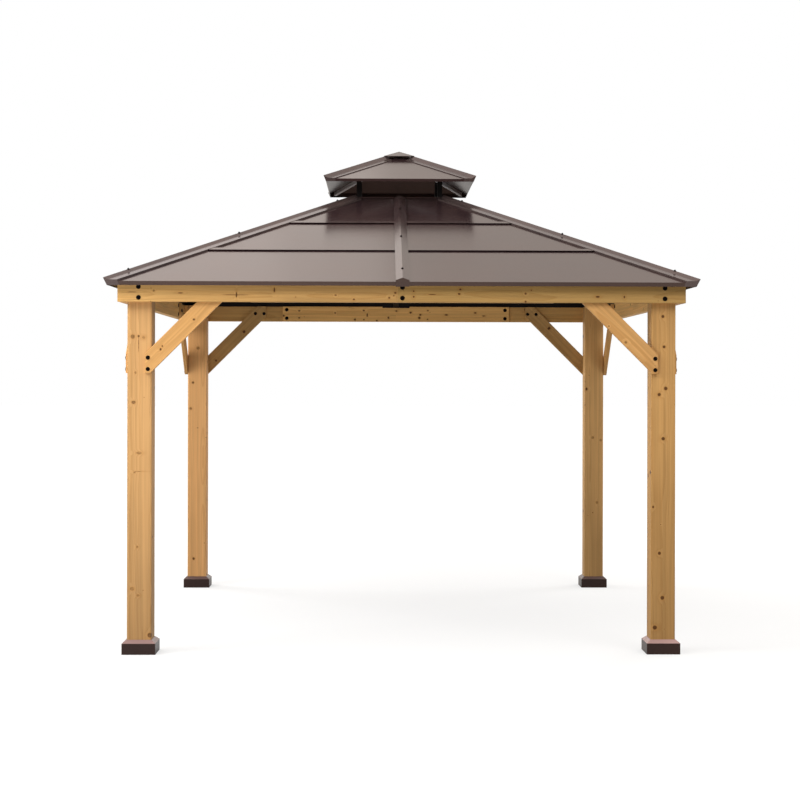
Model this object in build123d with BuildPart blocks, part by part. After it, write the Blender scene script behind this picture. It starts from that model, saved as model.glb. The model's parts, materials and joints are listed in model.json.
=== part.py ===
from build123d import *
import math
import os

os.makedirs("parts", exist_ok=True)

# Garden gazebo: four timber posts, a ring of beams with knee braces, a hipped roof of
# folded metal panels and a smaller raised roof over a vent. Millimetres, Z up, front at -Y.

# Clearance between pieces that bear on one another
SEAT = 0.3

# Timber frame
POST_SIDE = 140
POST_SPACING = 2993
POST_EASE = 7
BOARD = 24.2
BOARD_EASE = 2
BEAM_BOTTOM = 2006
BEAM_HEIGHT = 114
BEAM_SEAM = 26
BEAM_SEAM_GAP = 1.2
BRACE_WIDTH = 100
BRACE_REACH = 438
BRACE_NOSE = 74.5
BRACE_TOE = 30
BRACE_FOOT_INSET = 104
SPLICE_CLEAR = 126
PACKER_INSET = 3

# Metal covers at the feet of the posts
BASE_WIDER = 51.4
BASE_WALL = 63
BASE_BEVEL_RISE = 19
BASE_RIM = 2

# Main roof, in three lapped courses
SLOPE = 0.448
SHEET = 1.2
OVERHANG = 60.5
FASCIA = 25
SEAM_SHARES = (0.329, 0.656)
LAP_RISE = 9
LAP_STRIP = 30
LAP_RAMP = 14
LAP_MARGIN = 6
HIP_GAP = 6
RIB_GAP = 5

# Covers over the hips and the middle of each slope
HIP_WIDTH = 102
HIP_CROWN = 32
HIP_RIDGE = 23.6
RIB_WIDTH = 78
RIB_RIDGE = 25.5
RIB_SHOULDER = 10.5
RIB_DROP = 29.5
RIB_CLEAR = 17

# Steel under the roof
RAIL_HEIGHT = 25.6
RAIL_INSET = 1
RAFTER_WIDTH = 40
RAFTER_DEPTH = 60
RAFTER_CLEAR = 7.5
RING_DEPTH = 62
RING_LAP = 30
RING_LIP = 2
BRACKET_WIDTH = 206
BRACKET_DROP = 9
BRACKET_RISE = 39
BRACKET_SHEET = 3

# Raised roof over the vent
VENT_HALF = 278
VENT_POST = 30
VENT_CLEAR = 2
VENT_HIP_CLEAR = 6
VENT_RISE = 102.6
TOP_OVERHANG = 199
TOP_FASCIA = 18
TOP_PEAK_GAP = 12
TOP_HIP_WIDTH = 90
TOP_HIP_CROWN = 30
TOP_HIP_WING = 5
TOP_RAFTER_WIDTH = 22
TOP_RAFTER_DEPTH = 26
TOP_RAFTER_CLEAR = 41
CAP_SIDE = 200
CAP_RISE = 42
CAP_EDGE = 3
CAP_LAP = 20

# Turns from the front, in degrees
SIDE_TURNS = {"front": 0, "right": 90, "back": 180, "left": 270}
EIGHTH_TURN = SIDE_TURNS["right"] / 2
CORNER_TURNS = {
    "front_right": SIDE_TURNS["front"] + EIGHTH_TURN,
    "back_right": SIDE_TURNS["right"] + EIGHTH_TURN,
    "back_left": SIDE_TURNS["back"] + EIGHTH_TURN,
    "front_left": SIDE_TURNS["left"] + EIGHTH_TURN,
}

# Shape of the slopes
ROOF_ANGLE = math.atan(SLOPE)
FALL = math.sin(ROOF_ANGLE)
RUN = math.cos(ROOF_ANGLE)
DIAGONAL = math.sqrt(2)
HIP_SLOPE = SLOPE / DIAGONAL
SHEET_DROP = SHEET / RUN
PANEL_SEAT = SHEET_DROP + SEAT

# Layers of the timber frame, from the centre outwards
POST_PLACE = POST_SPACING / 2
POST_FACE = POST_PLACE + POST_SIDE / 2
POST_TOP = BEAM_BOTTOM + BEAM_HEIGHT
BEAM_MIDDLE = BEAM_BOTTOM + BEAM_HEIGHT / 2
BRACE_IN = POST_FACE + SEAT
BRACE_OUT = BRACE_IN + BOARD
BEAM_IN = BRACE_OUT + SEAT
BEAM_OUT = BEAM_IN + BOARD
BRACE_HEAD = POST_FACE - POST_SIDE - BRACE_REACH
BEAM_SEAT = POST_TOP + SEAT

# Places of the roof
EAVE = BEAM_OUT + OVERHANG
RAIL_IN = BEAM_IN + RAIL_INSET
RAIL_OUT = BEAM_OUT - RAIL_INSET
EAVE_TOP = BEAM_SEAT + RAIL_HEIGHT + PANEL_SEAT - SLOPE * (EAVE - RAIL_OUT)
PANEL_END = VENT_HALF + VENT_CLEAR
SEAMS = [EAVE - share * (EAVE - PANEL_END) for share in SEAM_SHARES]
LAP_TUCK = LAP_STRIP - LAP_MARGIN
HIP_END = VENT_HALF + VENT_HIP_CLEAR
RIB_END = PANEL_END + RIB_CLEAR
RING_OUT = PANEL_END + RING_LAP
RING_IN = VENT_HALF - VENT_POST - RING_LIP
VENT_PLACE = VENT_HALF - VENT_POST / 2
TOP_EAVE = VENT_HALF + TOP_OVERHANG
TOP_EAVE_TOP = EAVE_TOP + SLOPE * (EAVE - PANEL_END) + VENT_RISE
TOP_HIP_END = CAP_SIDE / 2 - CAP_LAP
REACH = 2 * EAVE
SKY = 2 * (TOP_EAVE_TOP + TOP_EAVE)


def outward(turn):
    """Level direction that points out of the gazebo at this turn from the front."""
    return Vector(0, -1, 0).rotate(Axis.Z, turn)


def along(turn):
    """Level direction that runs along the side at this turn from the front."""
    return Vector(1, 0, 0).rotate(Axis.Z, turn)


def side_plane(turn, out=0):
    """Upright plane across a side: x along it, y up, z outward."""
    return Plane(origin=outward(turn) * out, x_dir=along(turn), z_dir=outward(turn))


def section_plane(turn):
    """Upright plane through the middle of a side: x outward, y up."""
    return Plane(origin=(0, 0, 0), x_dir=outward(turn), z_dir=along(turn) * -1)


def plan_plane(turn):
    """Level plane at the ground: x along the side, y outward, z up."""
    return Plane(origin=(0, 0, 0), x_dir=along(turn) * -1, z_dir=(0, 0, 1))


def level_plane(height):
    """Level plane at a height."""
    return Plane(origin=(0, 0, height))


def eave_plane(turn, edge, height, clear):
    """Plane square to a slope at its lower edge: y leaves the slope, z points down the slope."""
    down = outward(turn) * RUN - Vector(0, 0, FALL)
    corner = outward(turn) * edge + Vector(0, 0, height)
    return Plane(origin=corner + down * clear, x_dir=along(turn), z_dir=down)


def slope_plane(turn, edge, height, slope):
    """Plane of a slope that passes through an edge, with z out of the slope."""
    corner = outward(turn) * edge + Vector(0, 0, height)
    return Plane(origin=corner, x_dir=along(turn), z_dir=outward(turn) * slope + Vector(0, 0, 1))


def hip_direction(turn):
    """Direction down a hip."""
    return (outward(turn) - Vector(0, 0, HIP_SLOPE)).normalized()


def roof_height(out):
    """Height of the main roof's upper face at this distance from the centre."""
    return EAVE_TOP + SLOPE * (EAVE - out)


def top_height(out):
    """Height of the raised roof's upper face at this distance from the centre."""
    return TOP_EAVE_TOP + SLOPE * (TOP_EAVE - out)


def mirrored(points):
    """The same outline on the other side of the middle."""
    return [(-x, y) for x, y in points]


def eave_course(edge, height, fascia, end, lip):
    """Section of the lowest panel: folded fascia, flat, and a lip turned up at its upper end."""
    top = height + SLOPE * (edge - end)
    lip_foot = top - SLOPE * SHEET
    inner_edge = edge - RUN * SHEET
    inner_height = height + FALL * SHEET
    return [
        (edge, height),
        (end + SHEET, lip_foot),
        (end + SHEET, lip_foot + lip),
        (end, lip_foot + lip),
        (end, top - SHEET_DROP),
        (inner_edge - FALL * SHEET, inner_height - RUN * SHEET),
        (inner_edge - FALL * fascia, inner_height - RUN * fascia),
        (edge - FALL * fascia, height - RUN * fascia),
    ]


def upper_course(seam, end, lip):
    """Section of a panel whose lower edge is raised over the panel below."""
    crest = seam - LAP_STRIP
    foot = crest - LAP_RAMP
    lip_foot = roof_height(end + SHEET)
    return [
        (seam, roof_height(seam) + LAP_RISE),
        (crest, roof_height(crest) + LAP_RISE),
        (foot, roof_height(foot)),
        (end + SHEET, lip_foot),
        (end + SHEET, lip_foot + lip),
        (end, lip_foot + lip),
        (end, roof_height(end) - SHEET_DROP),
        (foot, roof_height(foot) - SHEET_DROP),
        (crest, roof_height(crest) + LAP_RISE - SHEET_DROP),
        (seam, roof_height(seam) + LAP_RISE - SHEET_DROP),
    ]


def lap_room(seam):
    """Section of the room that a raised lap needs under a cover."""
    face = seam + SHEET
    crest = seam - LAP_STRIP - SHEET
    foot = crest - LAP_RAMP
    rise = LAP_RISE + SEAT
    return [
        (face, roof_height(face) - rise),
        (face, roof_height(face) + rise),
        (crest, roof_height(crest) + rise),
        (foot, roof_height(foot) + SEAT),
        (foot, roof_height(foot) - rise),
    ]


def bar_outline(half, top, depth):
    """Section of a hip rafter whose top follows the two slopes that meet on it."""
    edge = top - half * HIP_SLOPE
    return [(0, top), (half, edge), (half, top - depth), (-half, top - depth), (-half, edge)]


def cover_outline(half, crown, hip, wing):
    """Outline of a hip cover, filled to well below the hip: wings along the slopes and a raised crown."""
    deep = hip - half - REACH
    edge = hip + wing - half * HIP_SLOPE
    foot = hip + wing - crown * HIP_SLOPE
    return [
        (-half, deep),
        (half, deep),
        (half, edge),
        (crown, foot),
        (0, hip + HIP_RIDGE),
        (-crown, foot),
        (-half, edge),
    ]


def cover_hollow(half, crown, hip, wing):
    """Outline of the space inside a hip cover and below its turned-down edges."""
    wide = half + REACH
    deep = hip - wide
    inner = half - SHEET
    hem = hip + SEAT - inner * HIP_SLOPE
    under = hip + wing - SHEET_DROP
    pitch = HIP_SLOPE + (HIP_RIDGE - wing) / crown
    ridge = hip + HIP_RIDGE - SHEET * math.hypot(1, pitch)
    inner_crown = (ridge - under) / (pitch - HIP_SLOPE)
    edge = under - inner * HIP_SLOPE
    foot = under - inner_crown * HIP_SLOPE
    return [
        (-wide, deep),
        (wide, deep),
        (wide, hem),
        (inner, hem),
        (inner, edge),
        (inner_crown, foot),
        (0, ridge),
        (-inner_crown, foot),
        (-inner, edge),
        (-inner, hem),
        (-wide, hem),
    ]


# Posts and the covers at their feet
base_side = POST_SIDE + BASE_WIDER
base_bevel = BASE_WIDER / 2 - BASE_RIM
for corner, turn in CORNER_TURNS.items():
    place = outward(turn) * (POST_PLACE * DIAGONAL)

    with BuildPart() as post:
        with BuildSketch(Plane(origin=place)):
            Rectangle(POST_SIDE, POST_SIDE)
        extrude(amount=POST_TOP)
        fillet(post.edges().filter_by(Axis.Z), radius=POST_EASE)
    post.part.label = f"{corner}_post"
    export_step(post.part, f"parts/{corner}_post.step")

    with BuildPart() as base:
        with BuildSketch(Plane(origin=place)):
            Rectangle(base_side, base_side)
        extrude(amount=BASE_WALL)
        with BuildSketch(Plane(origin=place + Vector(0, 0, BASE_WALL))):
            Rectangle(base_side, base_side)
        extrude(amount=BASE_BEVEL_RISE, taper=math.degrees(math.atan2(base_bevel, BASE_BEVEL_RISE)))
        with BuildSketch(Plane(origin=place)):
            Rectangle(POST_SIDE + 2 * SEAT, POST_SIDE + 2 * SEAT)
        extrude(amount=BASE_WALL + BASE_BEVEL_RISE, mode=Mode.SUBTRACT)
    base.part.label = f"{corner}_post_base"
    export_step(base.part, f"parts/{corner}_post_base.step")

# Knee braces at 45 degrees, on the outer faces of the posts
brace_foot_x = BRACE_FOOT_INSET - POST_FACE
brace_toe_x = brace_foot_x + BRACE_TOE
brace_head_z = POST_TOP - BRACE_NOSE
brace_foot_z = brace_head_z + BRACE_HEAD + brace_toe_x
brace_heel_z = brace_foot_z + BRACE_WIDTH * DIAGONAL - BRACE_TOE
brace_outline = [
    (brace_foot_x, brace_foot_z),
    (brace_toe_x, brace_foot_z),
    (-BRACE_HEAD, brace_head_z),
    (-BRACE_HEAD, POST_TOP),
    (brace_foot_x + POST_TOP - brace_heel_z, POST_TOP),
    (brace_foot_x, brace_heel_z),
]
for side, turn in SIDE_TURNS.items():
    with BuildPart() as braces:
        with BuildSketch(side_plane(turn, BRACE_IN)):
            Polygon(*brace_outline, align=None)
            Polygon(*mirrored(brace_outline), align=None)
        extrude(amount=BOARD)
        outer_edges = braces.edges().group_by(Axis((0, 0, 0), outward(turn)))[-1]
        chamfer(outer_edges, length=BOARD_EASE)
    braces.part.label = f"{side}_braces"
    export_step(braces.part, f"parts/{side}_braces.step")

# Beams outside the braces, each of two boards that meet a little left of the middle
for side, turn in SIDE_TURNS.items():
    beam_half = BEAM_OUT if side in ("front", "back") else BEAM_IN - SEAT
    left_length = beam_half - BEAM_SEAM - BEAM_SEAM_GAP / 2
    right_length = beam_half + BEAM_SEAM - BEAM_SEAM_GAP / 2
    with BuildPart() as beam:
        with BuildSketch(side_plane(turn, BEAM_IN)):
            with Locations((left_length / 2 - beam_half, BEAM_MIDDLE)):
                Rectangle(left_length, BEAM_HEIGHT)
            with Locations((beam_half - right_length / 2, BEAM_MIDDLE)):
                Rectangle(right_length, BEAM_HEIGHT)
        extrude(amount=BOARD)
        chamfer(beam.edges().filter_by(Axis((0, 0, 0), along(turn))), length=BOARD_EASE)
    beam.part.label = f"{side}_beam"
    export_step(beam.part, f"parts/{side}_beam.step")

# Boards behind the beams: a splice over each joint and packing at the post heads
splice_length = 2 * (BRACE_HEAD - SPLICE_CLEAR)
with BuildPart() as splices:
    for turn in SIDE_TURNS.values():
        with BuildSketch(side_plane(turn, BRACE_IN)):
            with Locations((0, BEAM_MIDDLE)):
                Rectangle(splice_length, BEAM_HEIGHT)
        extrude(amount=BOARD)
splices.part.label = "splice_boards"
export_step(splices.part, "parts/splice_boards.step")

with BuildPart() as packers:
    for turn in SIDE_TURNS.values():
        with BuildSketch(side_plane(turn, BRACE_IN)):
            with Locations((0, BEAM_MIDDLE)):
                with GridLocations(POST_SPACING, 0, 2, 1):
                    Rectangle(POST_SIDE - 2 * PACKER_INSET, BEAM_HEIGHT)
        extrude(amount=BOARD)
packers.part.label = "post_packers"
export_step(packers.part, "parts/post_packers.step")

# Steel under the roof: eave rails, rafters, their brackets and the ring round the vent
rail_half = RAIL_IN - RAFTER_WIDTH / DIAGONAL - SEAT
with BuildPart() as rails:
    for turn in SIDE_TURNS.values():
        with BuildSketch(section_plane(turn)):
            Polygon(
                (RAIL_IN, BEAM_SEAT),
                (RAIL_OUT, BEAM_SEAT),
                (RAIL_OUT, roof_height(RAIL_OUT) - PANEL_SEAT),
                (RAIL_IN, roof_height(RAIL_IN) - PANEL_SEAT),
                align=None,
            )
        extrude(amount=rail_half, both=True)
rails.part.label = "eave_rails"
export_step(rails.part, "parts/eave_rails.step")

rafter_half = RAFTER_WIDTH / 2
hip_rafter_foot = (BEAM_OUT - RAFTER_CLEAR) * DIAGONAL
hip_rafter_top = roof_height(RING_OUT) - PANEL_SEAT
with BuildPart() as hip_rafters:
    for turn in CORNER_TURNS.values():
        with BuildSketch(side_plane(turn, RING_OUT * DIAGONAL)):
            Polygon(*bar_outline(rafter_half, hip_rafter_top, RAFTER_DEPTH), align=None)
        extrude(amount=REACH, dir=hip_direction(turn))
    split(bisect_by=level_plane(BEAM_SEAT), keep=Keep.TOP)
    for turn in CORNER_TURNS.values():
        split(bisect_by=side_plane(turn, hip_rafter_foot), keep=Keep.BOTTOM)
hip_rafters.part.label = "hip_rafters"
export_step(hip_rafters.part, "parts/hip_rafters.step")

ring_face = RING_OUT + SEAT
with BuildPart() as centre_rafters:
    for turn in SIDE_TURNS.values():
        with BuildSketch(section_plane(turn)):
            Polygon(
                (ring_face, roof_height(ring_face) - PANEL_SEAT),
                (BRACE_OUT, roof_height(BRACE_OUT) - PANEL_SEAT),
                (BRACE_OUT, roof_height(BRACE_OUT) - PANEL_SEAT - RAFTER_DEPTH),
                (ring_face, roof_height(ring_face) - PANEL_SEAT - RAFTER_DEPTH),
                align=None,
            )
        extrude(amount=rafter_half, both=True)
    split(bisect_by=level_plane(BEAM_SEAT), keep=Keep.TOP)
centre_rafters.part.label = "centre_rafters"
export_step(centre_rafters.part, "parts/centre_rafters.step")

bracket_face = BRACE_IN - SEAT - BRACKET_SHEET
with BuildPart() as brackets:
    for turn in SIDE_TURNS.values():
        with BuildSketch(side_plane(turn, bracket_face)):
            with Locations((0, POST_TOP - BRACKET_DROP)):
                Rectangle(BRACKET_WIDTH, BRACKET_DROP + BRACKET_RISE, align=(Align.CENTER, Align.MIN))
            with Locations((0, POST_TOP)):
                Rectangle(
                    RAFTER_WIDTH + 2 * SEAT,
                    BRACKET_RISE,
                    align=(Align.CENTER, Align.MIN),
                    mode=Mode.SUBTRACT,
                )
        extrude(amount=BRACKET_SHEET)
brackets.part.label = "rafter_brackets"
export_step(brackets.part, "parts/rafter_brackets.step")

ring_top = roof_height(PANEL_END + SHEET) - PANEL_SEAT
with BuildPart() as ring:
    with BuildSketch(level_plane(ring_top)):
        Rectangle(2 * RING_OUT, 2 * RING_OUT)
        Rectangle(2 * RING_IN, 2 * RING_IN, mode=Mode.SUBTRACT)
    extrude(amount=-RING_DEPTH)
    for turn in SIDE_TURNS.values():
        split(
            bisect_by=slope_plane(turn, RING_OUT, roof_height(RING_OUT) - PANEL_SEAT, SLOPE),
            keep=Keep.BOTTOM,
        )
ring.part.label = "crown_ring"
export_step(ring.part, "parts/crown_ring.step")

# Main roof: three lapped courses on each slope, split under the middle cover
lap_lip = LAP_RISE - SHEET_DROP - SEAT
courses = [
    eave_course(EAVE, EAVE_TOP, FASCIA, SEAMS[0] - LAP_TUCK, lap_lip),
    upper_course(SEAMS[0], SEAMS[1] - LAP_TUCK, lap_lip),
    upper_course(SEAMS[1], PANEL_END, lap_lip),
]
half_plan = [
    (RIB_GAP, RIB_GAP + HIP_GAP),
    (RIB_GAP, REACH),
    (REACH - HIP_GAP, REACH),
]
for side, turn in SIDE_TURNS.items():
    with BuildPart() as slope:
        with BuildSketch(section_plane(turn)):
            for course in courses:
                Polygon(*course, align=None)
        extrude(amount=EAVE, both=True)
        with BuildSketch(plan_plane(turn)):
            Polygon(*half_plan, align=None)
            Polygon(*mirrored(half_plan), align=None)
        extrude(amount=SKY, mode=Mode.INTERSECT)
    slope.part.label = f"{side}_roof_panels"
    export_step(slope.part, f"parts/{side}_roof_panels.step")

# Folded covers along the hips, notched over the laps and closed by two mitred plates at the eave corner
hip_half = HIP_WIDTH / 2
hip_crown = HIP_CROWN / 2
hip_start = roof_height(HIP_END)
hip_wing = LAP_RISE + SEAT + SHEET_DROP
hip_foot = EAVE_TOP - RUN * FASCIA - SEAT
for corner, turn in CORNER_TURNS.items():
    near_turns = (turn - EIGHTH_TURN, turn + EIGHTH_TURN)
    notches = []
    for near, kept in zip(near_turns, (Keep.TOP, Keep.BOTTOM)):
        with BuildPart() as notch:
            with BuildSketch(section_plane(near)):
                for seam in SEAMS:
                    Polygon(*lap_room(seam), align=None)
            extrude(amount=REACH, both=True)
            split(bisect_by=section_plane(turn), keep=kept)
        notches.append(notch.part)
    with BuildPart() as hip_hollow:
        with BuildSketch(side_plane(turn, HIP_END * DIAGONAL)):
            Polygon(*cover_hollow(hip_half, hip_crown, hip_start, hip_wing), align=None)
        extrude(amount=REACH, dir=hip_direction(turn))
        for near in near_turns:
            split(bisect_by=eave_plane(near, EAVE, EAVE_TOP, SEAT), keep=Keep.BOTTOM)
    with BuildPart() as hip:
        with BuildSketch(side_plane(turn, HIP_END * DIAGONAL)):
            Polygon(*cover_outline(hip_half, hip_crown, hip_start, hip_wing), align=None)
        extrude(amount=REACH, dir=hip_direction(turn))
        for near in near_turns:
            split(bisect_by=eave_plane(near, EAVE, EAVE_TOP, SEAT + SHEET), keep=Keep.BOTTOM)
        split(bisect_by=level_plane(hip_foot), keep=Keep.TOP)
        add(hip_hollow.part, mode=Mode.SUBTRACT)
        for piece in notches:
            add(piece, mode=Mode.SUBTRACT)
    hip.part.label = f"{corner}_hip_cap"
    export_step(hip.part, f"parts/{corner}_hip_cap.step")

# Folded covers down the middle of each slope, with an end plate over the fascia
rib_half = RIB_WIDTH / 2
rib_inner = rib_half - SHEET
rib_length = (EAVE - RIB_END) / RUN
rib_plate = [
    (-rib_half, -RIB_DROP),
    (rib_half, -RIB_DROP),
    (rib_half, RIB_SHOULDER),
    (0, RIB_RIDGE),
    (-rib_half, RIB_SHOULDER),
]
rib_section = [
    (-rib_half, SEAT),
    (-rib_half, RIB_SHOULDER),
    (0, RIB_RIDGE),
    (rib_half, RIB_SHOULDER),
    (rib_half, SEAT),
    (rib_inner, SEAT),
    (rib_inner, RIB_SHOULDER - SHEET),
    (0, RIB_RIDGE - SHEET),
    (-rib_inner, RIB_SHOULDER - SHEET),
    (-rib_inner, SEAT),
]
for side, turn in SIDE_TURNS.items():
    with BuildPart() as rib:
        with BuildSketch(eave_plane(turn, EAVE, EAVE_TOP, SEAT)):
            Polygon(*rib_section, align=None)
        extrude(amount=-rib_length)
        with BuildSketch(section_plane(turn)):
            for seam in SEAMS:
                Polygon(*lap_room(seam), align=None)
        extrude(amount=RIB_WIDTH, both=True, mode=Mode.SUBTRACT)
        with BuildSketch(eave_plane(turn, EAVE, EAVE_TOP, SEAT)):
            Polygon(*rib_plate, align=None)
        extrude(amount=SHEET)
    rib.part.label = f"{side}_roof_rib"
    export_step(rib.part, f"parts/{side}_roof_rib.step")

# Raised roof: rafters that cross at the peak, carried by posts on the ring
top_peak = top_height(0) - PANEL_SEAT
top_rafter_foot = (TOP_EAVE - TOP_RAFTER_CLEAR) * DIAGONAL
with BuildPart() as top_rafters:
    for turn in CORNER_TURNS.values():
        with BuildSketch(side_plane(turn)):
            Polygon(*bar_outline(TOP_RAFTER_WIDTH / 2, top_peak, TOP_RAFTER_DEPTH), align=None)
        extrude(amount=REACH, dir=hip_direction(turn))
    for turn in CORNER_TURNS.values():
        split(bisect_by=side_plane(turn, top_rafter_foot), keep=Keep.BOTTOM)
top_rafters.part.label = "upper_rafters"
export_step(top_rafters.part, "parts/upper_rafters.step")

vent_post_foot = ring_top + SEAT
vent_post_top = top_height(VENT_HALF) - PANEL_SEAT - TOP_RAFTER_DEPTH - SEAT
with BuildPart() as vent_posts:
    with BuildSketch(level_plane(vent_post_foot)):
        with GridLocations(2 * VENT_PLACE, 2 * VENT_PLACE, 2, 2):
            Rectangle(VENT_POST, VENT_POST)
    extrude(amount=vent_post_top - vent_post_foot)
vent_posts.part.label = "vent_posts"
export_step(vent_posts.part, "parts/vent_posts.step")

# Raised roof: four panels with a folded fascia
top_half_width = TOP_PEAK_GAP - HIP_GAP
top_plan = [
    (-top_half_width, TOP_PEAK_GAP),
    (HIP_GAP - REACH, REACH),
    (REACH - HIP_GAP, REACH),
    (top_half_width, TOP_PEAK_GAP),
]
top_slopes = []
for turn in SIDE_TURNS.values():
    with BuildPart() as top_slope:
        with BuildSketch(section_plane(turn)):
            Polygon(*eave_course(TOP_EAVE, TOP_EAVE_TOP, TOP_FASCIA, 0, SHEET), align=None)
        extrude(amount=TOP_EAVE, both=True)
        with BuildSketch(plan_plane(turn)):
            Polygon(*top_plan, align=None)
        extrude(amount=SKY, mode=Mode.INTERSECT)
    top_slopes.append(top_slope.part)
with BuildPart() as top_panels:
    for piece in top_slopes:
        add(piece)
top_panels.part.label = "upper_roof_panels"
export_step(top_panels.part, "parts/upper_roof_panels.step")

# Raised roof: hip covers, which run up under the cap
top_hip_half = TOP_HIP_WIDTH / 2
top_hip_crown = TOP_HIP_CROWN / 2
top_hip_start = top_height(TOP_HIP_END)
top_hip_foot = TOP_EAVE_TOP - RUN * TOP_FASCIA - SEAT
top_hips = []
for turn in CORNER_TURNS.values():
    near_turns = (turn - EIGHTH_TURN, turn + EIGHTH_TURN)
    with BuildPart() as top_hip_hollow:
        with BuildSketch(side_plane(turn, TOP_HIP_END * DIAGONAL)):
            Polygon(*cover_hollow(top_hip_half, top_hip_crown, top_hip_start, TOP_HIP_WING), align=None)
        extrude(amount=REACH, dir=hip_direction(turn))
        for near in near_turns:
            split(bisect_by=eave_plane(near, TOP_EAVE, TOP_EAVE_TOP, SEAT), keep=Keep.BOTTOM)
    with BuildPart() as top_hip:
        with BuildSketch(side_plane(turn, TOP_HIP_END * DIAGONAL)):
            Polygon(*cover_outline(top_hip_half, top_hip_crown, top_hip_start, TOP_HIP_WING), align=None)
        extrude(amount=REACH, dir=hip_direction(turn))
        for near in near_turns:
            split(bisect_by=eave_plane(near, TOP_EAVE, TOP_EAVE_TOP, SEAT + SHEET), keep=Keep.BOTTOM)
        split(bisect_by=level_plane(top_hip_foot), keep=Keep.TOP)
        add(top_hip_hollow.part, mode=Mode.SUBTRACT)
    top_hips.append(top_hip.part)
with BuildPart() as top_hip_caps:
    for piece in top_hips:
        add(piece)
top_hip_caps.part.label = "upper_hip_caps"
export_step(top_hip_caps.part, "parts/upper_hip_caps.step")

# Square cap that rests on the upper ends of the hip covers
cap_half = CAP_SIDE / 2
cap_slope = CAP_RISE / cap_half
cap_lap_seat = top_height(TOP_HIP_END) - cap_slope * CAP_LAP
cap_seat = max(cap_lap_seat, top_height(cap_half)) + HIP_RIDGE + SEAT
with BuildPart() as cap_hollow:
    with BuildSketch(level_plane(cap_seat)):
        Rectangle(CAP_SIDE, CAP_SIDE)
    extrude(amount=2 * CAP_RISE)
    for turn in SIDE_TURNS.values():
        split(bisect_by=slope_plane(turn, cap_half, cap_seat, cap_slope), keep=Keep.BOTTOM)
with BuildPart() as cap:
    with BuildSketch(level_plane(cap_seat)):
        Rectangle(CAP_SIDE, CAP_SIDE)
    extrude(amount=CAP_EDGE + 2 * CAP_RISE)
    for turn in SIDE_TURNS.values():
        split(bisect_by=slope_plane(turn, cap_half, cap_seat + CAP_EDGE, cap_slope), keep=Keep.BOTTOM)
    add(cap_hollow.part, mode=Mode.SUBTRACT)
cap.part.label = "top_cap"
export_step(cap.part, "parts/top_cap.step")
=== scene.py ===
import json
import math

import bmesh
import bpy
from bpy.props import FloatProperty, FloatVectorProperty, IntProperty, PointerProperty
from bpy.types import Operator, Panel, PropertyGroup
from mathutils import Matrix, Vector
from mathutils.bvhtree import BVHTree


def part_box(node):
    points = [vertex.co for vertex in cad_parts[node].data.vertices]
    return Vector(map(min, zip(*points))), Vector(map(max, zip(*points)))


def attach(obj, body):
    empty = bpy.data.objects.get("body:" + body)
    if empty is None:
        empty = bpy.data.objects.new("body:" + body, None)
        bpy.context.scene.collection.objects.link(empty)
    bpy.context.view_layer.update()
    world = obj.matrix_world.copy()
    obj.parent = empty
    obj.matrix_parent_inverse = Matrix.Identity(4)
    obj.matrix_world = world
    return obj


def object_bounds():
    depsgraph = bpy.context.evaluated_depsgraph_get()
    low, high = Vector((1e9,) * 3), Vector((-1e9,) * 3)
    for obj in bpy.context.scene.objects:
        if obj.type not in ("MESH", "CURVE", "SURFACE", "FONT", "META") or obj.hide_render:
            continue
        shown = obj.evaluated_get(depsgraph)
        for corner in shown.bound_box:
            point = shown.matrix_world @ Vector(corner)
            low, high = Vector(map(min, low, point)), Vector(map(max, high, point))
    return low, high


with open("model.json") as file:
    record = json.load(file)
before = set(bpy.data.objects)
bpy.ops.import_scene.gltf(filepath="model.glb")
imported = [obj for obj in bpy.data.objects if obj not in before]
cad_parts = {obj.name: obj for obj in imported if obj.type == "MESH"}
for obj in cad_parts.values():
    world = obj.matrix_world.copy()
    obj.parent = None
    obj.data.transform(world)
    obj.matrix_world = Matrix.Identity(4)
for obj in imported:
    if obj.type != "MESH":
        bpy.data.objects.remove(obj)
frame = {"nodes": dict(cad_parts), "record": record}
CAD_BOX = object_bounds()

bl_info = {
    "name": "Garden Gazebo Finish",
    "version": (1, 0, 0),
    "blender": (4, 5, 0),
    "location": "View3D > Sidebar > Gazebo",
    "description": "Timber, coated metal, fixings and studio for a garden gazebo",
    "category": "Object",
}

# Turns of the four sides from the front, which faces -Y
SIDES = {"front": 0.0, "right": math.pi / 2, "back": math.pi, "left": -math.pi / 2}
CORNERS = ("front_right", "back_right", "back_left", "front_left")

# Places that the frame gives, in metres
POST_LOW, POST_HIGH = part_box("front_right_post")
POST_PLACE = (POST_LOW.x + POST_HIGH.x) / 2
BEAM_LOW, BEAM_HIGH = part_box("front_beam")
BEAM_MIDDLE = (BEAM_LOW.z + BEAM_HIGH.z) / 2
BRACE_LOW, BRACE_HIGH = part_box("front_braces")
SPLICE_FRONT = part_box("splice_boards")[0].y

# Joint between the two boards of each beam, left of the middle
BEAM_SEAM = -0.026

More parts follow.
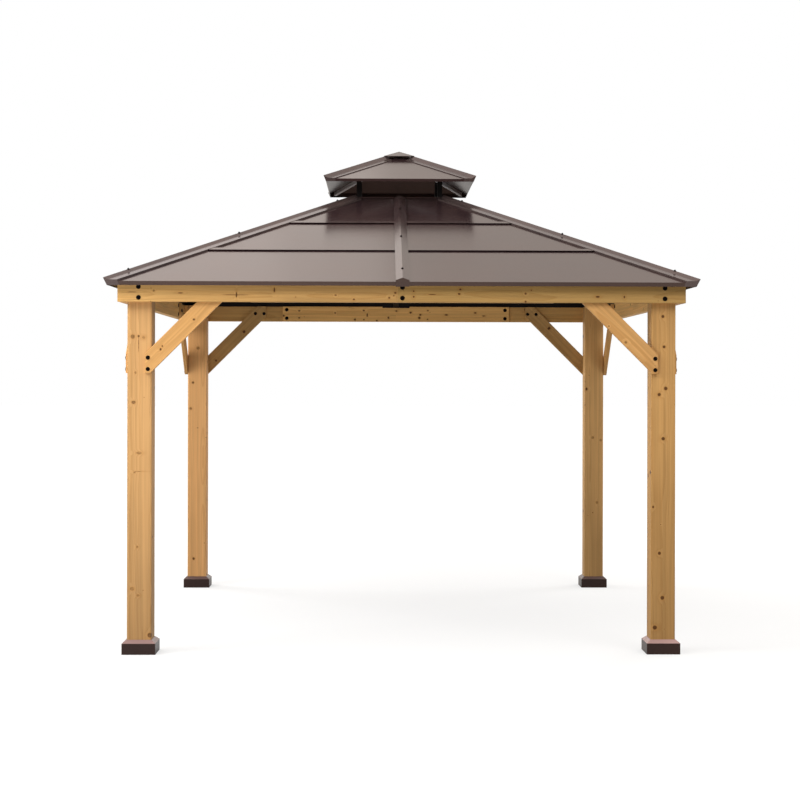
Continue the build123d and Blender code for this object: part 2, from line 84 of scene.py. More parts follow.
# Knots and cracks on the faces towards the front: place along, height, half width, half height, paleness
POST_KNOTS = {
    "front_left": (
        (-1.535, 1.809, 0.0125, 0.0130, 0.88),
        (-1.502, 1.812, 0.0065, 0.0080, 0.80),
        (-1.473, 1.805, 0.0080, 0.0080, 0.92),
        (-1.502, 1.765, 0.0022, 0.0450, 0.86),
        (-1.519, 1.604, 0.0060, 0.0070, 0.95),
        (-1.530, 1.435, 0.0120, 0.0090, 0.84),
        (-1.499, 1.146, 0.0150, 0.0070, 0.91),
        (-1.502, 1.041, 0.0240, 0.0022, 0.93),
        (-1.524, 1.036, 0.0055, 0.0050, 0.90),
        (-1.508, 0.610, 0.0070, 0.0070, 0.90),
        (-1.536, 0.373, 0.0120, 0.0100, 0.94),
        (-1.502, 0.334, 0.0085, 0.0070, 0.92),
        (-1.434, 0.108, 0.0150, 0.0140, 0.82),
    ),
    "front_right": (
        (1.493, 1.932, 0.0095, 0.0100, 0.0),
        (1.500, 1.758, 0.0090, 0.0092, 0.0),
        (1.510, 1.520, 0.0115, 0.0110, 0.0),
        (1.473, 1.485, 0.0105, 0.0105, 0.0),
        (1.496, 1.232, 0.0110, 0.0105, 0.0),
        (1.439, 0.841, 0.0055, 0.0085, 0.65),
        (1.476, 0.576, 0.0095, 0.0100, 0.0),
        (1.493, 0.320, 0.0120, 0.0120, 0.0),
        (1.450, 0.150, 0.0135, 0.0130, 0.0),
    ),
    "back_left": (
        (-1.490, 1.800, 0.0120, 0.0110, 0.90),
        (-1.528, 1.540, 0.0090, 0.0090, 0.78),
        (-1.545, 1.345, 0.0095, 0.0095, 0.86),
        (-1.520, 0.215, 0.0100, 0.0100, 0.55),
    ),
    "back_right": (
        (1.440, 1.497, 0.0080, 0.0120, 0.70),
        (1.487, 1.130, 0.0090, 0.0090, 0.93),
        (1.548, 1.111, 0.0080, 0.0080, 0.93),
        (1.520, 0.640, 0.0090, 0.0095, 0.88),
    ),
}
BEAM_KNOTS = (
    (-1.533, 2.061, 0.0250, 0.0019, 0.0),
    (-1.410, 2.069, 0.0055, 0.0055, 0.84),
    (-1.258, 2.056, 0.0160, 0.0035, 0.72),
    (-0.942, 2.046, 0.0050, 0.0180, 0.0),
    (-0.950, 2.046, 0.0800, 0.0022, 0.0),
    (-0.727, 2.075, 0.0050, 0.0140, 0.0),
    (-0.380, 2.046, 0.0060, 0.0055, 0.84),
    (-0.276, 2.022, 0.0065, 0.0060, 0.0),
    (-0.041, 2.060, 0.0065, 0.0060, 0.55),
    (-0.075, 2.032, 0.0060, 0.0058, 0.55),
    (-0.049, 2.044, 0.0042, 0.0042, 0.72),
    (0.064, 2.070, 0.0050, 0.0055, 0.60),
    (0.064, 2.038, 0.0060, 0.0065, 0.65),
    (0.170, 2.051, 0.0230, 0.0025, 0.72),
    (0.329, 2.081, 0.0070, 0.0060, 0.72),
    (0.322, 2.055, 0.0080, 0.0060, 0.65),
    (0.701, 2.058, 0.0070, 0.0065, 0.84),
    (0.701, 2.012, 0.0065, 0.0070, 0.65),
    (1.112, 2.041, 0.0125, 0.0058, 0.0),
    (1.264, 2.040, 0.0058, 0.0085, 0.65),
)
BRACE_KNOTS = (
    (-1.185, 1.907, 0.0075, 0.0062, 0.68),
    (-1.374, 1.737, 0.0060, 0.0085, 0.60),
    (-1.364, 1.755, 0.0045, 0.0050, 0.72),
    (1.276, 1.782, 0.0075, 0.0070, 0.84),
)
BOARD_KNOTS = (
    (-0.947, 2.099, 0.0075, 0.0090, 0.55),
    (-0.855, 2.050, 0.0090, 0.0080, 0.55),
    (-0.737, 2.088, 0.0075, 0.0055, 0.55),
    (-0.737, 2.034, 0.0065, 0.0055, 0.55),
    (-0.463, 2.072, 0.0060, 0.0060, 0.72),
    (-0.245, 2.091, 0.0075, 0.0060, 0.55),
    (-0.219, 2.057, 0.0055, 0.0130, 0.55),
    (-0.245, 2.022, 0.0060, 0.0055, 0.55),
    (-0.146, 2.014, 0.0075, 0.0060, 0.55),
    (0.003, 2.088, 0.0085, 0.0045, 0.68),
    (0.186, 2.059, 0.0080, 0.0070, 0.0),
    (0.178, 2.036, 0.0100, 0.0090, 0.0),
    (0.243, 2.092, 0.0060, 0.0050, 0.55),
    (0.241, 2.025, 0.0055, 0.0050, 0.55),
    (0.384, 2.059, 0.0120, 0.0060, 0.68),
    (0.605, 2.075, 0.0080, 0.0060, 0.55),
    (0.670, 2.052, 0.0110, 0.0045, 0.68),
    (0.944, 2.025, 0.0065, 0.0060, 0.55),
)
KNOT_DEPTH = 0.05
KNOT_SKIN = 0.015
NO_KNOT = 10.0

# Shares of the branch knots that show on the marked faces, and behind those
POST_BRANCH_SHARE = 0.25
FRONT_BRANCH_SHARE = 0.3
BOARD_BRANCH_SHARE = 0.6
ALL_BRANCHES = 1.0
HIDDEN_BRANCH_SHARE = 0.85

# Tones of the pieces beside the plain timber
# Tones of the posts, partly the wood's own and partly painted light: the front right post darker as less
# light reaches it from the left, the back posts lighter than the shade under the roof leaves them
POST_TINTS_WITH_LIGHT = {
    "front_left": (0.87, 0.90, 1.00),
    "front_right": (0.81, 0.82, 0.80),
    "back_left": (1.12, 1.10, 1.21),
    "back_right": (1.02, 1.07, 1.13),
}
# Tones of the other beams; the right and left beams are made lighter as painted light on their inner faces
BEAM_TINTS_WITH_LIGHT = {"right": (1.08, 1.16, 1.10), "back": (0.95, 1.0, 0.96), "left": (1.06, 1.14, 1.10)}
BRACE_TINT = (0.92, 0.91, 0.89)
# The back braces darker, as painted shade under the roof
BACK_BRACE_SHADE = (0.82, 0.88, 0.92)
BOARD_TINT = (1.36, 1.42, 1.36)

# The front beam's first board darkens from its left end to a place along it, as painted light falling off
# away from the left; the second board has one darker tone, partly its own and partly the same painted
# falloff
FIRST_END_TINT = (0.97, 1.02, 0.97, 1.0)
FIRST_INNER_TINT = (0.73, 0.76, 0.72, 1.0)
SECOND_TINT = (0.65, 0.70, 0.63, 1.0)
FIRST_TINT_END = -0.45

# Painted shade at the feet of the posts, where the wood darkens downwards as less light reaches it, and the
# height where it ends
PAINTED_FOOT_SHADES = {"front_left": 0.65, "front_right": 0.69, "back_left": 0.84, "back_right": 0.65}
FOOT_HEIGHT = 1.3

# Heart lines: of the posts from their middles, of the rest from the outer faces of the beams or braces
POST_HEARTS = {
    "front_left": (0.03, 0.045),
    "front_right": (-0.04, 0.05),
    "back_left": (0.045, -0.02),
    "back_right": (-0.03, -0.05),
}
BEAM_HEART_DEPTH = 0.085
BEAM_HEART_DROP = 0.015
BRACE_HEART_DEPTH = 0.07
BOARD_HEART_OUT = 0.06
BOARD_HEART_RISE = 0.02

# Seeds of the figures: the first piece's and the step to the next
POST_SEEDS = (3.1, 4.7)
BEAM_SEEDS = (1.9, 3.3)
BRACE_SEEDS = (2.3, 2.9)
BOARD_SEED = 0.7
BOARD_SIDE_STEPS = (2.7, 6.1, 0.0)
SECOND_BOARD_STEP = 5.3
SECOND_BRACE_STEP = 8.1

# Patterns of the timber: steps to the metre along the grain and both ways across it
DRIFT_STEPS = (1.3, 4.0, 4.0)
KNOT_EDGE_STEPS = (70.0, 70.0, 70.0)
FIBRE_STEPS = (9.0, 520.0, 520.0)
STREAK_STEPS = (1.1, 62.0, 62.0)
PATCH_STEPS = (1.6, 9.0, 9.0)
SPLIT_STEPS = (0.5, 24.0, 24.0)
SPLIT_ZONE_STEPS = (1.5, 11.0, 11.0)
RING_PACE_STEPS = 55.0

# Sockets of the timber's node group
FIGURE_INPUTS = {"Grain": "Vector", "Seed": "Float", "Tint": "Color", "Knots": "Float", "Branches": "Float"}
FIGURE_OUTPUTS = {"Colour": "Color", "Height": "Float", "Roughness": "Float"}

# Growth of the timber, in metres
HEART_SWAY = (0.0, 0.035, 0.035)
LEAST_BRANCH = 0.0005
RING_PACE_DEPTH = 0.018

# Patterns of the coats and the floor: steps to the metre
CLOUD_STEPS = (2.3, 2.3, 2.3)
SPECKLE_STEPS = (900.0, 900.0, 900.0)
SKIN_STEPS = (260.0, 260.0, 260.0)
FLOOR_STEPS = (3.0, 3.0, 3.0)
ORIGIN = (0.0, 0.0, 0.0)

# Coats: depth of the skin in metres, gloss, and tint of what they mirror
WHITE = (1.0, 1.0, 1.0, 1.0)
ROOF_COAT = (0.00006, 1.0, (1.0, 0.72, 0.56, 1.0))
COVER_COAT = (0.00006, 1.0, (1.0, 0.80, 0.76, 1.0))
BASE_COAT = (0.0001, 0.3, WHITE)
STEEL_COAT = (0.0001, 0.15, WHITE)
SATIN_COAT = (0.00005, 1.0, WHITE)
FIXING_COAT = (0.00008, 0.06, WHITE)
WARM_SHARES = (1.16, 1.10, 1.06)
COOL_SHARES = (0.84, 0.88, 0.94)
# Shares of the dust and painted sheen on the sloping tops of each post base, low at the back as painted
# shade under the roof
DUST_AND_SHEEN_SHARES = {"front_left": 0.85, "front_right": 1.2, "back_left": 0.4, "back_right": 0.4}

# Bolt heads and screws: widths and heights of the dome, and other shares of their sizes
DOME_SHARES = ((1.0, 0.0), (1.0, 0.25), (0.94, 0.55), (0.80, 0.82), (0.62, 0.96), (0.46, 1.0))
SOCKET_SHARE = 0.30
SOCKET_DEPTH_SHARE = 0.62
WASHER_SIDES = 16
WASHER_RISE_SHARE = 0.35
WASHER_TOP_SHARE = 0.36
CHAMFER_SHARE = 0.12
SHARP_ANGLE = math.radians(32)
OUTWARDS = math.pi / 2
INWARDS = -math.pi / 2

# Places of the bolts from the ends and edges of the boards, and of the screws out from the middle
SPLICE_END_INSET = 0.0305
BRACE_EDGE_INSET = 0.0165
BRACE_FOOT_RISES = (0.023, 0.088)
BRACE_HEAD_INSETS = (0.0165, 0.0815)
BRACE_HEAD_DROP = 0.055
HIP_SCREWS = (1.562, 0.981, 0.400)
RIB_SCREWS = (1.552, 1.042, 0.560)
RIDGE_SPREAD = 0.012
HEADROOM = 1.0
FACE_TOLERANCE = 0.001

# Soft lights: where each hangs, the point that it faces, its side and whether the coats mirror it
LIGHTS = {
    "key": ((-4.6, -2.6, 4.4), (-1.0, -0.6, 1.6), 2.5, False),
    "front": ((-3.0, -4.2, 4.6), (-1.2, -1.5, 1.7), 2.0, True),
    "fill": ((3.4, -4.6, 4.6), (1.2, -1.5, 1.6), 2.5, True),
    "under": ((-1.5, -5.0, 0.8), (0.0, 1.4, 2.0), 2.0, False),
    "back": ((-3.0, 4.6, 8.0), (-1.2, -1.2, 2.4), 6.0, True),
    "sheen": ((-2.9, 4.5, 7.9), (-1.2, -1.2, 2.4), 3.4, True),
    "left": ((-5.4, 3.6, 2.2), (1.5, 0.2, 1.1), 2.4, False),
    "right": ((5.4, 3.6, 2.2), (-1.5, 0.2, 1.1), 2.4, False),
}

# Parts of a direction between which the light from above and from the backdrop grows
OVERHEAD_RANGE = (0.0, 0.65)
BACKDROP_RANGE = (0.15, 0.75)


def colour_setting(name, description, default):
    """A colour that a user can change."""
    return FloatVectorProperty(
        name=name, description=description, default=default, subtype="COLOR", size=3, min=0.0, max=1.0
    )


def length_setting(name, description, default, least=0.0):
    """A length that a user can change."""
    return FloatProperty(name=name, description=description, default=default, unit="LENGTH", min=least)


def share_setting(name, description, default):
    """A share from nought to one that a user can change."""
    return FloatProperty(
        name=name, description=description, default=default, subtype="FACTOR", min=0.0, max=1.0
    )


def power_setting(name, description, default):
    """The power of a light that a user can change."""
    return FloatProperty(name=name, description=description, default=default, unit="POWER")


def strength_setting(name, description, default):
    """The strength of a glow that a user can change."""
    return FloatProperty(name=name, description=description, default=default)


class GazeboTimber(PropertyGroup):
    """Colours and figure of the timber"""

    early_wood: colour_setting("Early Wood", "Pale wood between the ring lines", (0.68, 0.380, 0.140))
    late_wood: colour_setting("Late Wood", "Darker wood of the ring lines", (0.47, 0.220, 0.062))
    knot_wood: colour_setting("Knot Wood", "Heart of the knots", (0.080, 0.027, 0.006))
    ring_spacing: length_setting("Ring Spacing", "Thickness of one year's growth", 0.0075, 0.001)
    knot_spacing: length_setting(
        "Knot Spacing", "Distance along the grain between whorls of knots", 0.27, 0.05
    )
    knot_radius: length_setting("Knot Radius", "Radius of the largest knots", 0.0135, 0.001)
    bump_depth: length_setting("Grain Depth", "Depth of the raised grain", 0.0006)


class GazeboMetal(PropertyGroup):
    """Colours and gloss of the coated metal"""

    roof_colour: colour_setting("Roof Coat", "Brown coat of the roof sheets", (0.032, 0.018, 0.019))
    cover_colour: colour_setting(
        "Cover Coat", "Lighter brown coat of the hip covers", (0.064, 0.046, 0.043)
    )
    base_colour: colour_setting(
        "Base Coat", "Brown coat of the covers at the feet of the posts", (0.031, 0.015, 0.012)
    )
    # Paler colour of the sloping tops of the bases: settled dust and a painted sheen of the light from
    # above
    dust_and_sheen_colour: colour_setting(
        "Dust", "Fine dust on the sloping tops of the post bases", (0.34, 0.215, 0.200)
    )
    steel_colour: colour_setting(
        "Steel Coat", "Near-black coat of the rafters and rails", (0.0075, 0.006, 0.0055)
    )
    fixing_colour: colour_setting(
        "Fixing Coat", "Black coat of the bolts and screws", (0.004, 0.0025, 0.002)
    )
    # Pale colour of the rafters under the raised roof: partly bright steel, partly a painted highlight
    satin_and_highlight_colour: colour_setting(
        "Satin Steel", "Bright steel of the rafters under the raised roof", (0.72, 0.72, 0.72)
    )
    satin_roughness: share_setting("Satin Roughness", "Roughness of the bright steel", 0.25)
    roof_roughness: share_setting("Roof Roughness", "Roughness of the roof coat", 0.20)
    base_roughness: share_setting("Base Roughness", "Roughness of the coat on the post bases", 0.26)
    steel_roughness: share_setting("Steel Roughness", "Roughness of the coat on the rafters", 0.45)


class GazeboFixings(PropertyGroup):
    """Sizes of the bolts and screws"""

    beam_bolt: length_setting("Beam Bolt", "Diameter of the bolt heads on the beams", 0.027)
    brace_bolt: length_setting("Brace Bolt", "Diameter of the bolt heads on the braces", 0.024)
    bolt_rise: length_setting("Bolt Rise", "Height of a bolt head", 0.0042)
    bolt_inset: length_setting("Bolt Inset", "Distance of the bolts from the edges of a beam", 0.0245)
    top_inset: length_setting("Top Inset", "Distance of the upper bolts from the top of a beam", 0.029)
    screw_washer: length_setting("Screw Washer", "Diameter of the washers under the roof screws", 0.016)
    screw_head: length_setting("Screw Head", "Width of the roof screws' heads", 0.0095)
    screw_rise: length_setting("Screw Rise", "Height of the roof screws' heads", 0.006)
    head_sides: IntProperty(
        name="Head Sides", description="Facets round a bolt head", default=24, min=6
    )


class GazeboStage(PropertyGroup):
    """Camera, floor and lights"""

    camera_place: FloatVectorProperty(
        name="Camera Place",
        description="Where the camera stands",
        subtype="TRANSLATION",
        unit="LENGTH",
        size=3,
        default=(-0.1442, -10.9146, 1.5737),
    )
    camera_turn: FloatProperty(
        name="Camera Turn",
        description="Turn of the level camera about the upright",
        subtype="ANGLE",
        default=-0.01718,
    )
    camera_roll: FloatProperty(
        name="Camera Roll",
        description="Turn of the camera about its line of sight",
        subtype="ANGLE",
        default=0.0021,
    )
    lens: FloatProperty(
        name="Lens",
        description="Focal length in millimetres",
        default=73.65,
    )
    shift: FloatVectorProperty(
        name="Lens Shift",
        description="Sideways and upright shift of the lens, as shares of the frame",
        size=2,
        default=(-0.0063, -0.0269),
    )
    floor_size: length_setting("Floor Size", "Side of the square floor", 160.0)
    floor_colour: colour_setting("Floor Colour", "Colour of the floor", (0.30, 0.30, 0.30))
    floor_glow: strength_setting(
        "Floor Glow", "White that the camera sees on the floor besides its own light", 0.78
    )
    shadow_glow: strength_setting(
        "Shadow Glow", "The same white close to the gazebo, where its shadow lies", 0.63
    )
    shadow_reach: length_setting(
        "Shadow Reach", "Distance from the middle within which the floor shows the shadow", 3.0
    )
    floor_sheen: share_setting("Floor Sheen", "Share of the floor's white that the coats mirror", 0.32)
    sky_colour: colour_setting("Sky Colour", "Colour of the soft light from all round", (1.0, 0.955, 0.90))
    horizon: strength_setting("Horizon Light", "Strength of the soft light from low down all round", 0.0)
    overhead: strength_setting("Overhead Light", "Strength of the soft light from above", 1.06)
    backdrop: strength_setting(
        "Backdrop Light", "Strength of the soft light from the white backdrop", 0.95
    )
    key_power: power_setting("Key Power", "Power of the main light, at the upper left", 190.0)
    front_power: power_setting("Front Power", "Power of the light in front of the left corner", 55.0)
    fill_power: power_setting("Fill Power", "Power of the light in front of the right corner", 78.0)
    under_power: power_setting("Under Power", "Power of the low light that reaches under the roof", 65.0)
    back_power: power_setting("Back Power", "Power of the broad light that the front slope mirrors", 55.0)
    sheen_power: power_setting(
        "Sheen Power", "Power of the light that brightens the left of the front slope", 10.0
    )
    left_power: power_setting("Left Power", "Power of the low light behind the left side", 205.0)
    right_power: power_setting("Right Power", "Power of the low light behind the right side", 125.0)


def feed(tree, value, socket):
    """Link a socket to another one, or set its value."""
    if isinstance(value, bpy.types.NodeSocket):
        tree.links.new(value, socket)
    else:
        socket.default_value = value


def put(tree, kind, inputs=None, **options):
    """Add a shader node, set its options and feed its inputs with values or other sockets."""
    node = tree.nodes.new("ShaderNode" + kind)
    for key, value in options.items():
        setattr(node, key, value)
    for key, value in (inputs or {}).items():
        feed(tree, value, node.inputs[key])
    return node


def maths(tree, operation, first, second=0.0, third=0.0):
    """Result of one arithmetic node."""
    node = put(tree, "Math", {0: first, 1: second, 2: third}, operation=operation)
    return node.outputs[0]


def ramp(tree, value, low, high, to_low=0.0, to_high=1.0):
    """Value eased from one range to another."""
    inputs = {"Value": value, "From Min": low, "From Max": high, "To Min": to_low, "To Max": to_high}
    return put(tree, "MapRange", inputs, interpolation_type="SMOOTHSTEP").outputs["Result"]


def parts_of(tree, vector):
    """The three parts of a vector."""
    return put(tree, "SeparateXYZ", {0: vector}).outputs


def vector_of(tree, first, second, third=0.0):
    """A vector from its three parts."""
    return put(tree, "CombineXYZ", {0: first, 1: second, 2: third}).outputs[0]


def vector_maths(tree, operation, first, second=ORIGIN):
    """Vector that comes of one or two others."""
    return put(tree, "VectorMath", {0: first, 1: second}, operation=operation).outputs["Vector"]


def length_of(tree, vector):
    """Length of a vector."""
    return put(tree, "VectorMath", {0: vector}, operation="LENGTH").outputs["Value"]


def scaled(tree, vector, factor):
    """Vector or colour times a number."""
    return put(tree, "VectorMath", {0: vector, "Scale": factor}, operation="SCALE").outputs["Vector"]


def stretched(tree, vector, scale, shift):
    """Coordinates stretched along the axes and moved by a seed."""
    moved = put(tree, "VectorMath", {0: vector, 1: scale, 2: shift}, operation="MULTIPLY_ADD")
    return moved.outputs["Vector"]


def turned(tree, vector, location, rotation):
    """Coordinates in a frame that is moved and turned."""
    inputs = {"Vector": vector, "Location": location, "Rotation": rotation}
    return put(tree, "Mapping", inputs, vector_type="TEXTURE").outputs["Vector"]


def noise(tree, vector, steps, shift=ORIGIN, detail=2.0, roughness=0.5):
    """Soft noise with some steps to the metre, moved by a seed."""
    place = stretched(tree, vector, steps, shift)
    inputs = {"Vector": place, "Scale": 1.0, "Detail": detail, "Roughness": roughness}
    return put(tree, "TexNoise", inputs).outputs


def blend(tree, mode, factor, first, second):
    """Two colours mixed."""
    inputs = {0: factor, 6: first, 7: second}
    return put(tree, "Mix", inputs, data_type="RGBA", blend_type=mode, clamp_factor=True).outputs[2]


def opaque(colour):
    """A colour with its alpha."""
    return (colour[0], colour[1], colour[2], 1.0)


def new_material(name):
    """Node material with a coated-surface shader; returns it with its tree and the shader's inputs."""
    material = bpy.data.materials.new(name)
    material.use_nodes = True
    tree = material.node_tree
    return material, tree, tree.nodes["Principled BSDF"].inputs


def dress(nodes, material):
    """Give a material to CAD nodes."""
    for name in nodes:
        mesh = frame["nodes"][name].data
        mesh.materials.clear()
        mesh.materials.append(material)


def nodes_in_slot(slot):
    """Names of the CAD nodes that the record gives to a material slot."""
    return [piece["node"] for piece in frame["record"]["subparts"] if piece["material_slot"] == slot]


def cedar_figure(timber):
    """Node group for sawn softwood, made once: rings round a heart line, knots, fibres and checks."""
    name = "cedar_figure"
    if name in bpy.data.node_groups:
        return bpy.data.node_groups[name]
    tree = bpy.data.node_groups.new(name, "ShaderNodeTree")
    for socket, kind in FIGURE_INPUTS.items():
        tree.interface.new_socket(socket, in_out="INPUT", socket_type=f"NodeSocket{kind}")
    for socket, kind in FIGURE_OUTPUTS.items():
        tree.interface.new_socket(socket, in_out="OUTPUT", socket_type=f"NodeSocket{kind}")
    source = tree.nodes.new("NodeGroupInput").outputs
    result = tree.nodes.new("NodeGroupOutput").inputs
    grain = source["Grain"]
    seed = vector_of(tree, source["Seed"], source["Seed"], source["Seed"])

    # Heart line that wanders along the timber
    drift = noise(tree, grain, DRIFT_STEPS, seed)["Color"]
    sway = vector_maths(tree, "SUBTRACT", drift, (0.5, 0.5, 0.5))
    place = parts_of(tree, stretched(tree, sway, HEART_SWAY, grain))
    radius = length_of(tree, vector_of(tree, 0.0, place["Y"], place["Z"]))
    angle = maths(tree, "ARCTAN2", place["Z"], place["Y"])

    # Branches that leave the heart, seen as knots where they meet a face
    branch_share = 0.8
    whorl_along = maths(tree, "DIVIDE", place["X"], timber.knot_spacing)
    whorl = vector_of(tree, whorl_along, maths(tree, "MULTIPLY", angle, branch_share))
    whorl_seeded = vector_maths(tree, "ADD", whorl, seed)
    branch = put(
        tree,
        "TexVoronoi",
        {"Vector": whorl_seeded, "Scale": 1.0, "Randomness": 0.95},
        voronoi_dimensions="2D",
    ).outputs
    apart = parts_of(tree, vector_maths(tree, "SUBTRACT", whorl_seeded, branch["Position"]))
    apart_along = maths(tree, "MULTIPLY", apart["X"], timber.knot_spacing)
    apart_round = maths(tree, "MULTIPLY", maths(tree, "DIVIDE", apart["Y"], branch_share), radius)
    distance = length_of(tree, vector_of(tree, apart_along, apart_round))
    wobble = noise(tree, grain, KNOT_EDGE_STEPS, seed)["Fac"]
    from_branch = maths(tree, "MULTIPLY", distance, ramp(tree, wobble, 0.25, 0.75, 0.75, 1.3))
    chance = put(tree, "SeparateColor", {0: branch["Color"]}).outputs["Red"]
    branch_radius = ramp(tree, chance, 0.25, 1.0, LEAST_BRANCH, timber.knot_radius)
    knot_size = maths(tree, "MULTIPLY", branch_radius, source["Branches"])
    rough_edge = ramp(tree, wobble, 0.25, 0.75, 0.92, 1.09)
    marked = maths(tree, "MULTIPLY", source["Knots"], rough_edge)
    reach = maths(tree, "MINIMUM", maths(tree, "DIVIDE", from_branch, knot_size), marked)
    knot = ramp(tree, reach, 1.15, 0.7)
    rim = maths(tree, "MULTIPLY", ramp(tree, reach, 1.9, 1.0), maths(tree, "SUBTRACT", 1.0, knot))
    swirl = maths(tree, "MULTIPLY", ramp(tree, reach, 4.0, 0.8), timber.knot_radius * 0.28)

    # Growth rings, pushed aside by the knots
    ring_place = maths(tree, "MULTIPLY_ADD", radius, RING_PACE_STEPS, source["Seed"])
    pace = put(
        tree,
        "TexNoise",
        {"W": ring_place, "Scale": 1.0, "Detail": 1.0},
        noise_dimensions="1D",
    ).outputs["Fac"]
    uneven = maths(tree, "MULTIPLY_ADD", pace, RING_PACE_DEPTH, radius)
    swirled = maths(tree, "MULTIPLY_ADD", swirl, 1.2, uneven)
    year = maths(tree, "FRACT", maths(tree, "DIVIDE", swirled, timber.ring_spacing))
    late = maths(tree, "MULTIPLY", maths(tree, "POWER", year, 2.2), ramp(tree, year, 1.0, 0.93))

    # Fibres, broad streaks and slow changes of tone
    fibre = noise(tree, grain, FIBRE_STEPS, seed, 3.0, 0.6)["Fac"]
    streak = noise(tree, grain, STREAK_STEPS, seed, 3.0, 0.55)["Fac"]
    patch = noise(tree, grain, PATCH_STEPS, seed)["Fac"]

    # Drying checks along the grain
    split_line = noise(tree, grain, SPLIT_STEPS, seed, 1.0)["Fac"]
    near_split = maths(tree, "ABSOLUTE", maths(tree, "SUBTRACT", split_line, 0.5))
    split_zone = noise(tree, grain, SPLIT_ZONE_STEPS, seed, 1.0)["Fac"]
    opening = ramp(tree, near_split, 0.006, 0.001)
    check = maths(tree, "MULTIPLY", opening, ramp(tree, split_zone, 0.62, 0.68))

    # Colour
    late_wood = opaque(timber.late_wood)
    knot_wood = opaque(timber.knot_wood)
    ring_mix = maths(tree, "MULTIPLY_ADD", late, 0.46, maths(tree, "MULTIPLY", fibre, 0.14))
    wood = blend(tree, "MIX", ring_mix, opaque(timber.early_wood), late_wood)
    streak_tone = ramp(tree, streak, 0.25, 0.75, 0.87, 1.09)
    patch_tone = ramp(tree, patch, 0.3, 0.7, 0.94, 1.05)
    toned = scaled(tree, wood, maths(tree, "MULTIPLY", streak_tone, patch_tone))
    tinted = blend(tree, "MULTIPLY", 1.0, toned, source["Tint"])
    ringed = blend(tree, "MIX", maths(tree, "MULTIPLY", rim, 0.45), tinted, late_wood)
    knotted = blend(tree, "MIX", maths(tree, "MULTIPLY", knot, 0.92), ringed, knot_wood)
    checked = blend(tree, "MIX", maths(tree, "MULTIPLY", check, 0.7), knotted, knot_wood)
    feed(tree, checked, result["Colour"])

    # Relief and gloss
    raised = maths(tree, "MULTIPLY_ADD", late, 0.35, maths(tree, "MULTIPLY", fibre, 0.5))
    swollen = maths(tree, "MULTIPLY_ADD", knot, 0.3, raised)
    feed(tree, maths(tree, "SUBTRACT", swollen, check), result["Height"])
    matt = maths(tree, "MULTIPLY_ADD", streak, 0.2, 0.46)
    feed(tree, maths(tree, "MULTIPLY_ADD", knot, -0.12, matt), result["Roughness"])
    return tree


def knot_reach(tree, place, knots, face):
    """Distance to the nearest of the marked knots on a face, counted in knot sizes."""
    nearest = NO_KNOT
    for along, height, half_width, half_height, paleness in knots:
        scale = (1.0 / half_width, 1.0 / KNOT_DEPTH, 1.0 / half_height)
        shift = (-along * scale[0], -face * scale[1], -height * scale[2])
        reach = length_of(tree, stretched(tree, place, scale, shift))
        nearest = maths(tree, "MINIMUM", maths(tree, "MAXIMUM", reach, paleness), nearest)
    return nearest


def cedar_material(name, grain_of, seed_of, tint, knots, face, branches, foot_shade=1.0):
    """Timber for one piece; functions give its grain coordinates, its seed and, if it varies, its tint."""
    timber = bpy.context.scene.gazebo_timber
    material, tree, surface = new_material(name)
    place = put(tree, "TexCoord").outputs["Object"]
    parts = parts_of(tree, place)
    grain = grain_of(tree, place)
    # Painted shade: the wood darkens towards the feet of the posts, where less light falls
    foot_shading = ramp(tree, parts["Z"], POST_LOW.z, POST_LOW.z + FOOT_HEIGHT, foot_shade, 1.0)
    shade = tint(tree, place) if callable(tint) else tint
    inputs = {
        "Grain": grain,
        "Seed": seed_of(tree, place, grain),
        "Tint": scaled(tree, shade, foot_shading),
        "Knots": knot_reach(tree, place, knots, face),
        "Branches": ramp(tree, parts["Y"], face, face + KNOT_SKIN, branches, HIDDEN_BRANCH_SHARE),
    }
    figure = put(tree, "Group", inputs, node_tree=cedar_figure(timber)).outputs
    bump = {"Height": figure["Height"], "Distance": timber.bump_depth, "Strength": 0.8}
    feed(tree, figure["Colour"], surface["Base Color"])
    feed(tree, figure["Roughness"], surface["Roughness"])
    feed(tree, put(tree, "Bump", bump).outputs["Normal"], surface["Normal"])
    surface["Specular IOR Level"].default_value = 0.2
    return material


def turned_grain(location, rotation):
    """Grain coordinates of a piece whose heart line and turn are known."""

    def grain_of(tree, place):
        return turned(tree, place, location, rotation)

    return grain_of


def on_side(tree, place, turn):
    """Coordinates of a side: along it, upwards and outwards."""
    return parts_of(tree, turned(tree, place, ORIGIN, (math.pi / 2, 0.0, turn)))


def brace_grain(turn, heart):
    """Grain coordinates of a pair of braces that lean towards each other."""

    def grain_of(tree, place):
        parts = on_side(tree, place, turn)
        folded = vector_of(tree, maths(tree, "ABSOLUTE", parts["X"]), parts["Y"], parts["Z"])
        return turned(tree, folded, heart, (0.0, 0.0, math.radians(135)))

    return grain_of


def ring_grain(heart):
    """Grain coordinates of boards that run round the four sides."""

    def grain_of(tree, place):
        parts = parts_of(tree, place)
        far_x = maths(tree, "ABSOLUTE", parts["X"])
        far_y = maths(tree, "ABSOLUTE", parts["Y"])
        on_flank = maths(tree, "GREATER_THAN", far_x, far_y)
        front = vector_of(tree, parts["X"], parts["Z"], far_y)
        flank = vector_of(tree, parts["Y"], parts["Z"], far_x)
        mixed = put(tree, "Mix", {0: on_flank, 4: front, 5: flank}, data_type="VECTOR").outputs[1]
        return vector_maths(tree, "SUBTRACT", mixed, heart)

    return grain_of


def nth_seed(seeds, index):
    """Seed of one of a row of like pieces."""
    return seeds[0] + seeds[1] * index


def plain_seed(value):
    """One figure for the whole piece."""

    def seed_of(tree, place, grain):
        return value

    return seed_of


